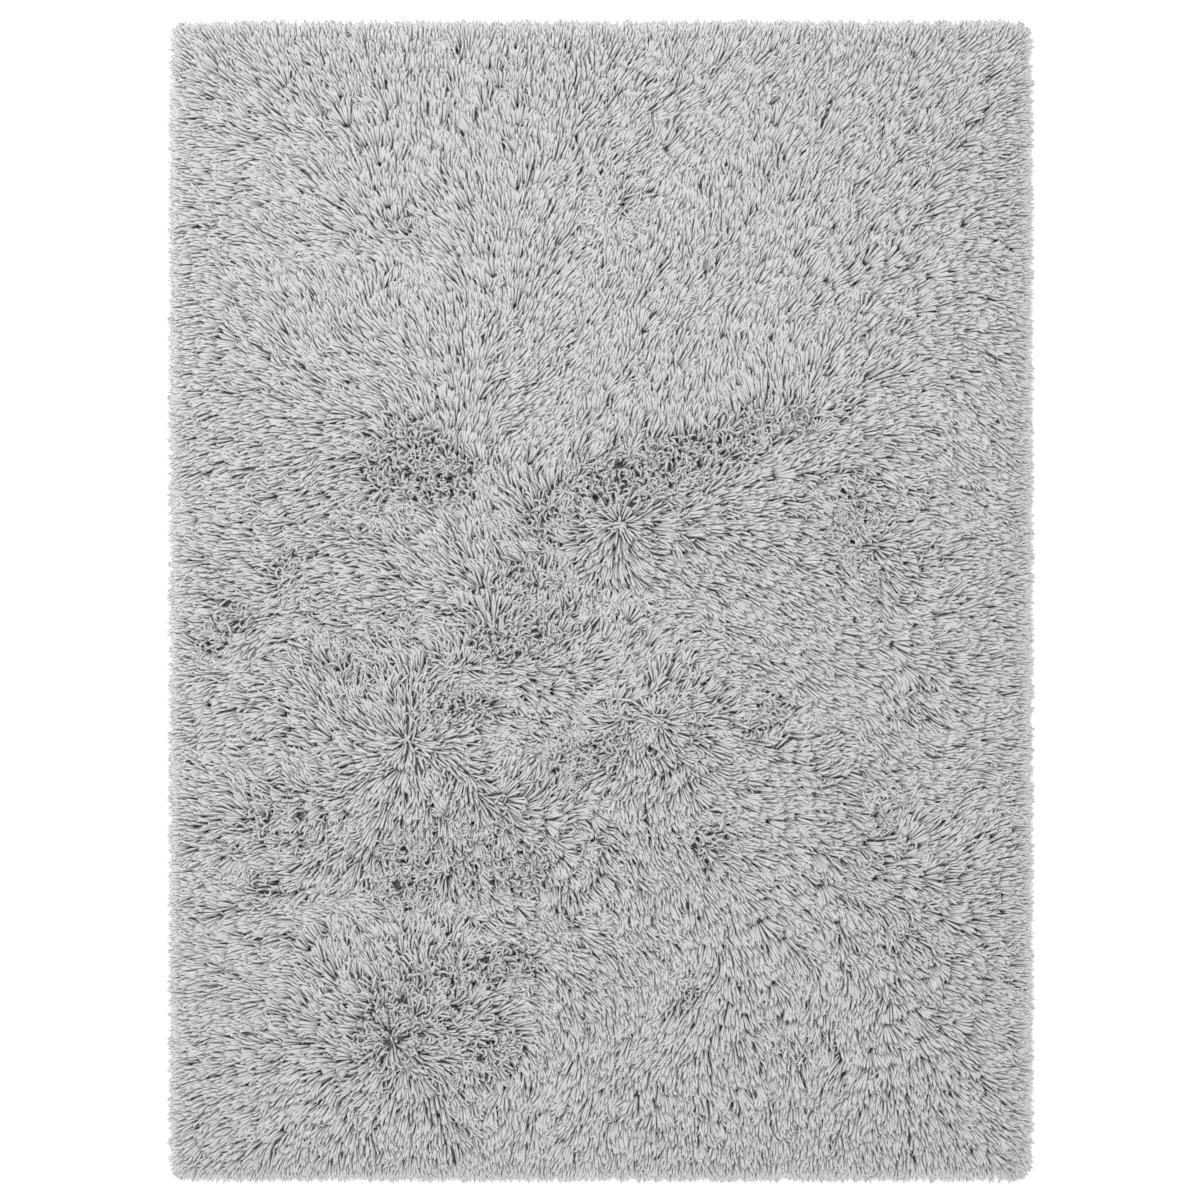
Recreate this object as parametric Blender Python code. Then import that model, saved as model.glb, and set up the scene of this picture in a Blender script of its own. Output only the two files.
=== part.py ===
"""Shag rug, 1.2 m by 1.6 m, lying flat: a lumpy slab of long pile with locks round its rim.

Metres, +Z up. The underside is the plane z = 0, the origin is at its middle and +Y runs along the rug.
"""

import math
import random

import bmesh
import bpy
from mathutils import Matrix, Vector

# Driving dimensions.
RUG_WIDTH = 1.200  # along X, over the tips of the rim's locks
RUG_LENGTH = 1.612  # along Y, over the tips of the rim's locks
PILE_HEIGHT = 0.031  # floor to the top of the pile, away from its rim
PILE_COLOUR = (0.52, 0.535, 0.53, 1.0)  # pale cool grey
PILE_ROUGHNESS = 0.85
CORNER_RADIUS = 0.034  # of the side wall, seen from above
SHARP_ANGLE = math.radians(50)  # a steeper fold is shaded as an edge

# The slab that the locks stand out from.
SLAB_CELL = 0.033  # largest cell of its top
RIM_ROW = 0.018  # from its side wall to the first row of cells
RIM_HEIGHT = 0.0165  # of its side wall
SHOULDER = 0.028  # how far in from the wall the pile has risen by two thirds
TUFT_SHIFT = 0.2  # share of a cell by which a tuft strays from its row
TUFT_UNEVENNESS = 0.0018  # up or down, from one tuft to the next

# The locks of the rim, one on each panel of the side wall.
LOCK_COUNT = 288
LOCK_REACH = 0.024  # past the side wall, for the longest
LOCK_SHORTEST = 0.62  # share of the full reach
FULL_REACH_EVERY = 9  # every ninth lock has the full reach
LOCK_ROOT_INSET = 0.0014  # bare wall round each root
LOCK_KNEE_AT = 0.5  # share of the reach where a lock bends down
LOCK_KNEE_LOW = 0.0009  # its level lower face, over the floor
LOCK_KNEE_HIGH = 0.0105  # its ridge
LOCK_KNEE_WIDTH = 0.0124  # along the floor
LOCK_RIDGE_WIDTH = 0.0050  # along the ridge
LOCK_TIP_LOW = 0.0010
LOCK_SWERVE = 0.0045  # how far a tip strays along the rim
SEED = 7

# Broad swells of the pile: crest to crest along the heading, and the rise of a crest.
SWELLS = (
    # (wavelength, heading in degrees, rise, phase in degrees)
    (0.310, 20, 0.0016, 40),
    (0.230, 115, 0.0016, 200),
    (0.150, 65, 0.0013, 310),
    (0.105, 160, 0.0011, 90),
)

# Places where the pile parts and sinks: crowns that the locks radiate from, and partings between two leans.
HOLLOWS = (
    # (x, y, half length, half width, heading of the length in degrees, depth)
    (0.020, 0.545, 0.030, 0.020, 60, 0.010),
    (-0.300, 0.570, 0.045, 0.016, 100, 0.007),
    (-0.265, 0.508, 0.030, 0.016, 80, 0.008),
    (-0.330, 0.480, 0.040, 0.016, 40, 0.007),
    (-0.148, 0.440, 0.055, 0.014, 95, 0.006),
    (-0.203, 0.262, 0.060, 0.014, 95, 0.006),
    (0.400, 0.460, 0.050, 0.018, 35, 0.007),
    (0.170, 0.372, 0.035, 0.016, 60, 0.006),
    (0.300, 0.250, 0.040, 0.016, 30, 0.007),
    (-0.258, 0.180, 0.050, 0.034, 60, 0.011),
    (0.030, 0.107, 0.024, 0.024, 0, 0.011),
    (0.020, 0.140, 0.080, 0.014, 0, 0.009),
    (0.095, 0.165, 0.040, 0.018, 105, 0.009),
    (0.190, 0.228, 0.060, 0.015, 5, 0.010),
    (0.372, 0.080, 0.030, 0.026, 90, 0.011),
    (0.430, 0.150, 0.035, 0.016, 10, 0.007),
    (0.438, -0.020, 0.055, 0.018, 110, 0.009),
    (-0.165, 0.012, 0.075, 0.016, -10, 0.011),
    (-0.100, -0.050, 0.045, 0.015, 15, 0.010),
    (-0.190, -0.092, 0.028, 0.020, 0, 0.009),
    (-0.430, 0.055, 0.040, 0.018, 60, 0.007),
    (-0.510, -0.025, 0.040, 0.018, 80, 0.010),
    (-0.540, -0.145, 0.035, 0.016, 60, 0.009),
    (-0.275, -0.190, 0.030, 0.030, 0, 0.011),
    (-0.305, -0.238, 0.055, 0.016, 20, 0.009),
    (0.078, -0.172, 0.026, 0.026, 0, 0.011),
    (0.240, -0.195, 0.045, 0.018, 90, 0.009),
    (0.285, -0.140, 0.030, 0.016, 45, 0.007),
    (0.138, -0.335, 0.030, 0.024, 90, 0.010),
    (0.370, -0.300, 0.050, 0.018, 75, 0.009),
    (-0.020, -0.290, 0.035, 0.018, -10, 0.008),
    (-0.130, -0.360, 0.040, 0.016, -30, 0.009),
    (-0.180, -0.440, 0.040, 0.018, -30, 0.009),
    (-0.420, -0.405, 0.040, 0.016, 10, 0.009),
    (-0.200, -0.505, 0.060, 0.018, 5, 0.008),
    (-0.298, -0.600, 0.028, 0.024, 0, 0.010),
    (-0.272, -0.645, 0.045, 0.018, 5, 0.010),
    (0.105, -0.545, 0.090, 0.014, 25, 0.008),
    (0.150, -0.480, 0.050, 0.014, 70, 0.007),
    (0.225, -0.445, 0.035, 0.018, -50, 0.009),
    (0.325, -0.445, 0.035, 0.016, -50, 0.008),
    (0.430, -0.570, 0.050, 0.016, -65, 0.007),
    (0.045, -0.680, 0.040, 0.016, 0, 0.006),
)


def pile_material():
    """Matt pale grey fibre."""
    material = bpy.data.materials.new("pile_grey")
    material.use_nodes = True
    shader = material.node_tree.nodes["Principled BSDF"]
    shader.inputs["Base Color"].default_value = PILE_COLOUR
    shader.inputs["Roughness"].default_value = PILE_ROUGHNESS
    shader.inputs["Metallic"].default_value = 0.0
    material.diffuse_color = PILE_COLOUR
    return material


def rim_gap(x, y, half_x, half_y, radius):
    """Distance in from the edge of a rounded rectangle, for a point inside it."""
    over_x = abs(x) - (half_x - radius)
    over_y = abs(y) - (half_y - radius)
    past_straights = math.hypot(max(over_x, 0.0), max(over_y, 0.0))
    return max(radius - past_straights - min(max(over_x, over_y), 0.0), 0.0)


def drawn_into_corner(x, y, half_x, half_y, radius):
    """The point itself, or the nearest one on the round corner where it lies past it."""
    over = Vector((abs(x) - (half_x - radius), abs(y) - (half_y - radius)))
    if min(over) <= 0.0 or over.length <= radius:
        return x, y
    over = over.normalized() * radius
    return math.copysign(half_x - radius + over.x, x), math.copysign(half_y - radius + over.y, y)


def rim_point(distance, half_x, half_y, radius):
    """Point at a distance along a rounded rectangle, counter-clockwise from (half_x, 0)."""
    straight_x = 2 * (half_x - radius)
    straight_y = 2 * (half_y - radius)
    quarter = radius * math.pi / 2
    distance = (distance + straight_y / 2) % (2 * (straight_x + straight_y) + 4 * quarter)
    for side in range(4):
        straight = straight_y if side % 2 == 0 else straight_x
        reach_out = half_x if side % 2 == 0 else half_y
        turn = Matrix.Rotation(side * math.pi / 2, 2)
        if distance <= straight:
            return turn @ Vector((reach_out, distance - straight / 2))
        distance -= straight
        if distance <= quarter:
            angle = distance / radius
            centre = Vector((reach_out - radius, straight / 2))
            return turn @ (centre + radius * Vector((math.cos(angle), math.sin(angle))))
        distance -= quarter
    raise ValueError("the distance is past the end of the outline")


def pile_top(x, y, half_x, half_y, radius):
    """Height of the pile's top over a point of the slab."""
    inner = 1.0 - math.exp(-rim_gap(x, y, half_x, half_y, radius) / SHOULDER)
    height = RIM_HEIGHT + (PILE_HEIGHT - RIM_HEIGHT) * inner
    for wavelength, heading, rise, phase in SWELLS:
        along = x * math.cos(math.radians(heading)) + y * math.sin(math.radians(heading))
        height += inner * rise * math.sin(2 * math.pi * along / wavelength + math.radians(phase))
    for hollow_x, hollow_y, half_length, half_width, heading, depth in HOLLOWS:
        turned = Matrix.Rotation(-math.radians(heading), 2) @ Vector((x - hollow_x, y - hollow_y))
        spread = (turned.x / half_length) ** 2 + (turned.y / half_width) ** 2
        height -= depth * math.exp(-spread)
    return height


def add_top(mesh, half_x, half_y, radius):
    """The inner part of the top: a grid of cells, raised to the pile's height, each tuft a little out of row."""
    inner_x = half_x - RIM_ROW
    inner_y = half_y - RIM_ROW
    across = math.ceil(2 * inner_x / SLAB_CELL)
    along = math.ceil(2 * inner_y / SLAB_CELL)
    chance = random.Random(SEED)
    grid = bmesh.ops.create_grid(mesh, x_segments=across, y_segments=along, size=1.0)["verts"]
    for vertex in grid:
        x = vertex.co.x * inner_x
        y = vertex.co.y * inner_y
        if vertex.is_boundary:
            x, y = drawn_into_corner(x, y, inner_x, inner_y, radius)
        else:
            x += chance.uniform(-TUFT_SHIFT, TUFT_SHIFT) * SLAB_CELL
            y += chance.uniform(-TUFT_SHIFT, TUFT_SHIFT) * SLAB_CELL
        uneven = chance.uniform(-TUFT_UNEVENNESS, TUFT_UNEVENNESS)
        vertex.co = (x, y, pile_top(x, y, half_x, half_y, radius) + uneven)
    return [edge for edge in mesh.edges if edge.is_boundary]


def add_rim(mesh, half_x, half_y, radius):
    """The top edge of the side wall, one straight stretch of it for each lock."""
    round_trip = 4 * (half_x + half_y - 2 * radius) + 2 * math.pi * radius
    corners = []
    for number in range(LOCK_COUNT):
        point = rim_point(number * round_trip / LOCK_COUNT, half_x, half_y, radius)
        corners.append(mesh.verts.new((point.x, point.y, RIM_HEIGHT)))
    return [mesh.edges.new((corners[number - 1], corners[number])) for number in range(LOCK_COUNT)]


def add_lock(mesh, panel, reach, swerve):
    """Draws one panel of the side wall out into a lock: level underneath, bent at its knee and pointed."""
    outward = panel.normal.copy()
    sideways = Vector((-outward.y, outward.x, 0.0))
    foot = panel.calc_center_median()
    foot.z = 0.0
    bmesh.ops.inset_individual(mesh, faces=[panel], thickness=LOCK_ROOT_INSET, use_even_offset=True)
    middle_height = panel.calc_center_median().z
    knee = bmesh.ops.extrude_discrete_faces(mesh, faces=[panel])["faces"][0]
    for vertex in knee.verts:
        upper = vertex.co.z > middle_height
        side = math.copysign(0.5, (vertex.co - foot).dot(sideways))
        width = LOCK_RIDGE_WIDTH if upper else LOCK_KNEE_WIDTH
        shift = side * width + swerve * LOCK_KNEE_AT**2
        vertex.co = foot + outward * (reach * LOCK_KNEE_AT) + sideways * shift
        vertex.co.z = LOCK_KNEE_HIGH if upper else LOCK_KNEE_LOW
    tip = bmesh.ops.extrude_discrete_faces(mesh, faces=[knee])["faces"][0]
    point = foot + outward * reach + sideways * swerve
    point.z = LOCK_TIP_LOW
    bmesh.ops.pointmerge(mesh, verts=list(tip.verts), merge_co=point)


def build_rug(collection):
    """The whole rug as one closed body."""
    half_x = RUG_WIDTH / 2 - LOCK_REACH
    half_y = RUG_LENGTH / 2 - LOCK_REACH
    chance = random.Random(SEED + 1)
    mesh = bmesh.new()
    inner_edges = add_top(mesh, half_x, half_y, CORNER_RADIUS)
    rim_edges = add_rim(mesh, half_x, half_y, CORNER_RADIUS)
    bmesh.ops.triangle_fill(mesh, use_beauty=True, edges=inner_edges + rim_edges)

    wall = bmesh.ops.extrude_edge_only(mesh, edges=rim_edges)["geom"]
    for corner in (item for item in wall if isinstance(item, bmesh.types.BMVert)):
        corner.co.z = 0.0
    foot_edges = [edge for edge in mesh.edges if edge.is_boundary]
    bmesh.ops.triangle_fill(mesh, use_beauty=True, edges=foot_edges)
    bmesh.ops.recalc_face_normals(mesh, faces=mesh.faces)

    panels = [item for item in wall if isinstance(item, bmesh.types.BMFace)]
    centres = {panel: panel.calc_center_median() for panel in panels}
    panels.sort(key=lambda panel: math.atan2(centres[panel].y, centres[panel].x))
    for number, panel in enumerate(panels):
        share = 1.0 if number % FULL_REACH_EVERY == 0 else chance.uniform(LOCK_SHORTEST, 1.0)
        add_lock(mesh, panel, LOCK_REACH * share, chance.uniform(-LOCK_SWERVE, LOCK_SWERVE))

    data = bpy.data.meshes.new("shag_pile")
    mesh.to_mesh(data)
    mesh.free()
    data.shade_smooth()
    data.set_sharp_from_angle(angle=SHARP_ANGLE)
    data.materials.append(pile_material())
    collection.objects.link(bpy.data.objects.new("shag_pile", data))


def main():
    for old in list(bpy.data.objects):
        bpy.data.objects.remove(old, do_unlink=True)
    collection = bpy.data.collections.new("shag_rug")
    bpy.context.scene.collection.children.link(collection)
    build_rug(collection)


main()
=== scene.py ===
"""Looks of the shag rug: tens of thousands of tapered strands of yarn, combed into locks, on a closed ground.

Metres, +Z up, as in the frame. Flat places are complex numbers x + iy, and so are the directions that strands
lean in.
"""

import math

import bpy
import numpy as np
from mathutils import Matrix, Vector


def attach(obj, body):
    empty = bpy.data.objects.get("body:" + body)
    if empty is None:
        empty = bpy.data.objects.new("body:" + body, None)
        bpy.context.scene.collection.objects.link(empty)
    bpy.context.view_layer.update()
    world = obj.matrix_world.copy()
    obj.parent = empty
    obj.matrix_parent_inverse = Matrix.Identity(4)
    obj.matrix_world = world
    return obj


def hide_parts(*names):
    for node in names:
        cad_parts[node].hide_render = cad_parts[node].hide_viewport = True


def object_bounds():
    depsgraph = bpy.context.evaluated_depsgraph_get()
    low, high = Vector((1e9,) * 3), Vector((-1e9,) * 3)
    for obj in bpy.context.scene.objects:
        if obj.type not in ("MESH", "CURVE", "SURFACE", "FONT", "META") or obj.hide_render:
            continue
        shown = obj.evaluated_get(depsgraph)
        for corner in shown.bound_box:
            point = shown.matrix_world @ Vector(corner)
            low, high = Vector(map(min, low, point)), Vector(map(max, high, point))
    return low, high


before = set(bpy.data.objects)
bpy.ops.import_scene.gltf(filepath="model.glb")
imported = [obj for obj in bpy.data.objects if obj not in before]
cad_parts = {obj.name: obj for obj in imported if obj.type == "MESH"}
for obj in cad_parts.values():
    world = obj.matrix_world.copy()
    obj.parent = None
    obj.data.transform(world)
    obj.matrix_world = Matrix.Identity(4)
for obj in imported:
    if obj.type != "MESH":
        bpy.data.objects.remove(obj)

CAD_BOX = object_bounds()
OUTER_X = CAD_BOX[1].x  # over the tips of the rim
OUTER_Y = CAD_BOX[1].y
SEED = 11
FIELD = 4.0  # width of the square that holds all flat places

# The ground cloth and the matted foot of the pile on it.
GROUND_INSET = 0.024  # from the tips of the rim to the edge of the ground
GROUND_X = OUTER_X - GROUND_INSET
GROUND_Y = OUTER_Y - GROUND_INSET
GROUND_CORNER = 0.012
GROUND_CELL = 0.016
GROUND_MIDDLE = 0.0175  # its height in the middle
GROUND_EDGE = 0.0045  # and at its edge
GROUND_SHOULDER = 0.015  # how fast it rises from its edge
GROUND_TOUSLED = 0.012  # how much lower it is where the pile is tousled

# Waves of uneven heights and leans: (size, pitch, seed).
GROUND_WAVES = ((0.0014, 0.02, SEED + 5),)
PILE_WAVES = ((0.0016, 0.16, SEED + 3), (0.0014, 0.06, SEED + 4))
LEAN_WAVES = ((9, 0.085, SEED + 1), (6, 0.034, SEED + 2))  # in degrees

# The pile.
PILE_PIECES = 5
PILE_TOP = 0.0330  # of the lying pile, in the middle
PILE_RIM = 0.0024  # of the tips at the outline
PILE_SHOULDER = 0.0170  # how fast it rises from there
STRAND_COUNT = 74400  # at most
STRAND_REACH = 0.0380  # how far a tip lies from its root, seen from above
STRAND_RADIUS = 0.0027  # at its widest
STRAND_FLATNESS = 0.60  # of its height to its width
STRAND_RADII = (0.82, 1.18)  # least and most, as shares of STRAND_RADIUS
STRAND_FOLLOWS = 0.5  # how much it bends with the lean around it
STRAND_HOOK = (0.35, 0.15)  # how much its tip turns on with its curl, and by chance
STRAND_SPIN = 0.6  # how much its corners are turned round it, in radians
SIDES = 3  # of a strand
ROOT_DEPTH = 0.0015  # how deep a root goes into the ground
LEAST_HEIGHT = 0.0021  # of the rings of a strand
LEAST_TIP_HEIGHT = 0.0006
LEAST_REACH = 0.010  # of the strands that end at the outline

# The rim.
OUTLINE_CORNER = 0.032  # of the outline over the tips
RIM_OVER = 0.0055  # how far the longest tips pass the outline of the CAD
RIM_RAGGEDNESS = 0.0105  # how much shorter others are
RIM_PITCH = 0.0023  # of the row of strands all along the rim
RIM_TURN = 0.060  # radius on which the lean turns round a corner of the rug
RIM_PULL = 0.55  # how much the lean turns outwards at the rim
RIM_PULL_DEPTH = 0.016  # and how far in it still does
RIM_PAINTED_LIGHT = 0.36  # how much paler the tips are at the outline: painted light
RIM_THINNER = 0.24  # and how much thinner
RIM_THINNER_DEPTH = 0.015
RIM_ROOTS = (0.001, 0.012)  # how far in the row is rooted

# Locks of strands, and tufts of locks.
LOCK_COUNT = 53500  # strands in locks
LOCK_PITCH = 0.0175
LOCK_ALONG = (0.50, 0.95)  # least and most of what is left of a lock's length as its roots gather
LOCK_ACROSS = (0.50, 0.74)  # and of its width
LOCK_SPREAD = 0.36  # the angle between its outer strands, in radians
LOCK_REACH = (0.88, 1.12)
LOCK_LEVEL = 0.97
LOCK_ROUNDNESS = 0.25  # how much its outer strands lie lower
LOCK_CURL = 0.45  # spread of the turn of its strands from root to tip, in radians
LOCK_TONE = 0.05
TUFT_PITCH = 0.046
TUFT_DRIFT = 0.24  # how far locks move towards the middle of their tuft where the pile is tousled

# Strands in a lock, beside what it gives them.
OWN_REACH = (0.80, 1.08)
OWN_LEVEL = (0.97, 1.03)
OWN_CURL = 0.12
OWN_TURN = 0.04

# Spreads of locks and tufts: in calm pile, and what is added where it is fully tousled.
LOCK_TURN = (6, 26)  # in degrees
TUFT_TURN = (6, 50)
LOCK_RISE = (0.020, 0.115)
TUFT_RISE = (0.015, 0.20)

# How strands differ where the pile is fully tousled.
TOUSLED_SHORTER = 0.30
TOUSLED_THINNER = 0.22
TOUSLED_CURL = 1.8
TOUSLED_LOCK_GAPS = 0.42  # share of the strands in locks that is left out
TOUSLED_UNDER_GAPS = 0.8  # and of those under them

# Fans: partings that strands fan out from, in a dark V. Small ones lie between the charted ones.
FAN_STRANDS = 9  # that a charted fan has more than another lock
FAN_MIDDLE = 0.004  # spread of their roots
FAN_SPREAD = 0.85
FAN_ALONG = 0.38  # what is left of its length as its roots gather
FAN_ACROSS = 0.60
FAN_RISE = 0.035  # how much higher it lies
FAN_CUTOFF = 2.5  # reaches from its root that it turns the lean at
FAN_HALF_EDGE = 0.35  # how soft its sides are
FAN_FORWARD = 0.9  # how much it turns the lean to its heading, and not just away from its root
V_MARGIN = 0.0015  # between the root of a fan and the tips behind it
V_SLOPE = 0.8
V_BEHIND = 0.010  # roots nearer to it than this are its own
V_WIDTH = 0.27  # of the fan's reach
SMALL_FAN_PITCH = 0.062
SMALL_FAN_STRENGTH = 0.5  # how much they turn the lean
SMALL_FAN_REACH = (0.016, 0.026)
SMALL_FAN_CALM = 0.45  # there are none where the pile is more tousled than this
SMALL_FAN_CLEAR = (0.030, 0.040)  # least distance from the charted fans and from the crowns

# Strands under the locks, and strands that fill bare spots.
UNDER_COUNT = 14300
UNDER_LEVEL = 0.87
FILL_CELL = 0.0048  # size of the spots
FILL_REACH = (0.016, 0.026)
FILL_LEVEL = (0.72, 0.92)
FILL_TURN = 0.35
FILL_CURL = 0.5
FILL_FROM_EDGE = 0.014  # none are nearer to the edge of the ground

# Dark holes in the tousled pile.
HOLE_PITCH = 0.021
HOLE_RADIUS = 0.0036
HOLE_ODDS = (0.22, 0.90)  # how tousled the pile is where there are none, and where there are all
HOLE_BEHIND = 0.003  # roots nearer to a hole than this are its own
HOLE_LEAST_REACH = 0.004

# Where a strand's places lie, from root to tip. All but the first and the last have a ring of corners.
RING_ALONG = np.array([0.0, 0.30, 0.80, 1.0])  # along it, for its colour
RING_OUT = np.array([0.0, 0.28, 0.80, 1.0])  # share of its reach
RING_UP = np.array([0.0, 0.62, 0.94, 1.0])  # share of its height
RING_RADIUS = np.array([0.72, 1.04])  # of its rings

# Curls, in the tousled places.
CURL_COUNT = 2500
CURL_PLACES = 60000  # that they are chosen from
CURL_RADIUS = 0.0020
CURL_REACH = (0.012, 0.028)
CURL_BEND = (0.8, 4.2)  # turn from root to tip, in radians
CURL_TURN = 1.1  # spread of the turn out of the lean
CURL_LEVEL = (0.90, 1.10)
CURL_SPIN = 1.3
CURL_CLEAR = 0.022  # least distance from the crowns
CURL_RINGS = 6
CURL_UP = np.array([0.0, 0.55, 0.86, 1.0, 1.0, 0.90, 0.80, 0.74])  # share of its height, from root to tip

# Tones of strands, from 0 to 1. Each of this many has a column of the map.
TONES = 48
TONE_SPREAD = 0.10
TONE_RANGE = (0.02, 0.96)

# The comb chart: which way the tips point, in degrees, 0 towards +X and 90 towards +Y.
LEAN_X = np.linspace(-0.558, 0.555, 17)
LEANS = (
    # (y, (heading at each place of LEAN_X))
    (0.771, (130, 118, 108, 102, 92, 88, 92, 84, 80, 74, 68, 62, 72, 66, 60, 50, 40)),
    (0.697, (165, 145, 140, 115, 88, 92, 92, 78, 70, 60, 60, 50, 65, 60, 45, 35, 20)),
    (0.628, (172, 165, 158, 120, 85, 100, 95, 75, 55, 50, 55, 72, 55, 45, 40, 30, 12)),
    (0.558, (172, 165, 152, 125, 90, 115, 90, 60, 45, 30, 85, 75, 65, 45, 35, 22, 8)),
    (0.489, (178, 168, 165, 170, 150, 137, 98, 62, 70, 80, 80, 60, 60, 50, 25, 20, 5)),
    (0.426, (183, 155, 120, 105, 65, 140, 98, 60, 75, 55, 55, 50, 45, 32, 20, 3, -5)),
    (0.384, (195, 148, 115, 108, 125, 105, 85, 60, 68, 55, 55, 50, 55, 60, 12, -12, -10)),
    (0.322, (187, 162, 138, 155, 155, 115, 55, 55, 65, 75, 80, 80, 90, 60, 10, -20, -20)),
    (0.259, (190, 182, 175, 165, 150, 100, 38, 40, 70, 80, 100, 100, 40, 20, 10, -30, -25)),
    (0.210, (200, 180, 180, 200, 190, 90, 40, 50, 75, 80, 60, 30, 5, 10, -10, -35, -35)),
    (0.155, (205, 195, 192, 190, 170, 140, 125, 100, 80, 40, 60, 15, 0, -10, -25, -25, -18)),
    (0.092, (178, 175, 190, 180, 168, 128, 122, 120, 200, -25, -20, -20, -10, 0, 30, 0, 6)),
    (0.029, (190, 165, 205, 180, 175, 170, 100, 90, -103, -35, -33, -33, -15, -60, -45, 18, 12)),
    (-0.040, (178, 230, 190, 180, 176, 175, 80, 60, 60, 25, -12, -25, -45, -20, 0, 17, 3)),
    (-0.110, (195, 175, 125, 112, 90, 30, -25, 0, 0, 95, 40, -20, -50, -15, -60, -5, 0)),
    (-0.180, (198, 190, 175, 160, 100, 25, 0, -30, 170, -60, 0, -5, 30, -35, -20, 0, 0)),
    (-0.242, (162, 155, 150, 178, 250, -85, 60, 50, 225, 245, -50, -5, -5, -15, -10, 10, -5)),
    (-0.319, (180, 180, 200, 225, 250, -75, -78, 15, -20, -80, 20, -5, -20, -48, 60, 32, 12)),
    (-0.388, (192, 190, 200, 230, 240, -80, -30, -95, -52, -82, -70, -35, -50, -40, -30, 15, -4)),
    (-0.458, (180, 185, 165, 130, 118, 60, -30, -20, -30, -50, -75, -70, -60, -55, -40, -20, -10)),
    (-0.521, (195, 175, 165, 115, 100, 80, 30, -65, -50, -70, -120, -75, -80, -90, -50, -18, -18)),
    (-0.604, (190, 180, 172, 145, 30, 5, 10, -95, -95, -130, -105, -80, -85, -95, -65, -35, -17)),
    (-0.674, (200, 200, 222, 212, 265, -60, -95, 245, -95, -90, -75, -80, -88, -130, -85, -50, -25)),
    (-0.729, (210, 218, 235, 245, 260, -75, -80, -115, -95, -90, -85, -85, -88, -92, -85, -55, -30)),
    (-0.771, (220, 235, 250, 258, 268, -82, -95, -110, -100, -90, -90, -88, -88, -90, -85, -70, -50)),
)

# Partings that the strands fan out from, with a dark root in each.
FANS = (
    # (x in mm, y in mm, heading of the fan in degrees, reach in mm)
    (-436, 709, 130, 39), (-141, 707, 90, 22), (-159, 677, 95, 19), (-347, 656, 100, 28),
    (-113, 656, 90, 19), (239, 656, 65, 22), (298, 632, 60, 22), (401, 631, 60, 25),
    (86, 624, 60, 25), (-305, 601, 105, 31), (181, 569, 75, 22), (-296, 543, 105, 31),
    (497, 519, 25, 28), (-263, 508, 100, 19), (-330, 482, 135, 28), (391, 466, 50, 22),
    (362, 464, 55, 17), (-149, 447, 95, 36), (450, 447, 20, 25), (308, 440, 45, 22),
    (319, 429, 45, 17), (434, 397, 10, 25), (361, 395, 90, 17), (57, 370, 80, 22),
    (171, 363, 80, 25), (-498, 359, 150, 25), (263, 356, 70, 22), (-206, 290, 95, 28),
    (298, 252, 30, 25), (-202, 235, 95, 33), (159, 227, 95, 19), (-102, 189, 30, 19),
    (235, 175, 25, 31), (277, 175, 0, 25), (-283, 164, 185, 31), (423, 152, 15, 28),
    (-447, 145, 165, 25), (-558, 113, 180, 19), (441, 47, 0, 25), (-230, 15, 165, 28),
    (-164, 15, 90, 22), (-78, 15, 80, 19), (-57, 13, 80, 19), (-131, 6, 85, 22),
    (-511, -15, 180, 28), (347, -26, -10, 19), (36, -33, 60, 25), (430, -33, 15, 22),
    (-511, -50, 215, 25), (-141, -56, 30, 31), (398, -58, -10, 25), (65, -64, 30, 17),
    (-43, -89, 25, 22), (416, -89, -30, 25), (-366, -99, 110, 25), (-426, -120, 160, 25),
    (-71, -124, 5, 25), (288, -141, -45, 25), (-539, -142, 205, 28), (-175, -155, -10, 25),
    (-433, -159, 185, 22), (242, -173, 90, 22), (-370, -195, 170, 28), (242, -207, 90, 22),
    (263, -221, -15, 19), (-50, -228, 0, 17), (-273, -232, -90, 33), (-301, -239, 180, 22),
    (-405, -263, 150, 19), (124, -263, -60, 22), (291, -266, -15, 22), (420, -273, 30, 25),
    (-136, -277, 58, 22), (-384, -284, 180, 14), (-15, -288, -15, 22), (-349, -291, 205, 25),
    (267, -298, 0, 19), (374, -298, 70, 25), (-464, -299, 160, 25), (226, -302, -20, 22),
    (-81, -305, 0, 22), (-415, -319, 183, 22), (-113, -330, -30, 22), (-429, -333, 200, 19),
    (138, -333, -20, 36), (363, -333, 25, 22), (423, -333, 70, 22), (-36, -347, -30, 17),
    (-57, -354, -45, 22), (-136, -356, -10, 22), (277, -374, -40, 19), (-1, -377, -20, 22),
    (445, -381, 30, 25), (374, -384, -20, 22), (416, -384, -10, 22), (305, -388, -45, 19),
    (-436, -402, 180, 19), (-468, -406, 185, 22), (-501, -423, 170, 19), (-120, -423, -20, 22),
    (444, -423, 0, 19), (-521, -433, 170, 19), (469, -437, -35, 22), (-188, -440, -80, 28),
    (217, -440, -65, 28), (326, -441, -75, 22), (249, -465, -50, 22), (-402, -486, 160, 25),
    (458, -500, -5, 19), (-134, -504, 25, 31), (-203, -507, 75, 22), (-231, -521, 100, 19),
    (235, -528, -50, 22), (-352, -562, 130, 25), (433, -562, -50, 28), (-203, -567, 40, 25),
    (200, -569, -65, 25), (57, -572, -80, 17), (395, -583, -70, 25), (486, -583, -15, 19),
    (-387, -586, 158, 22), (-298, -597, 135, 39), (-266, -600, 12, 25), (437, -604, -65, 28),
    (-440, -611, 165, 22), (374, -618, -95, 25), (-342, -636, 160, 22), (400, -639, -90, 28),
    (-477, -646, 170, 19), (-273, -646, -90, 39), (372, -646, 235, 22), (-384, -653, 185, 19),
    (-134, -671, 260, 19), (187, -674, -85, 19), (50, -681, -90, 19), (75, -697, -90, 19),
    (535, -757, -50, 28),
)
FAN_ROWS = np.array(FANS, float)
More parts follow.
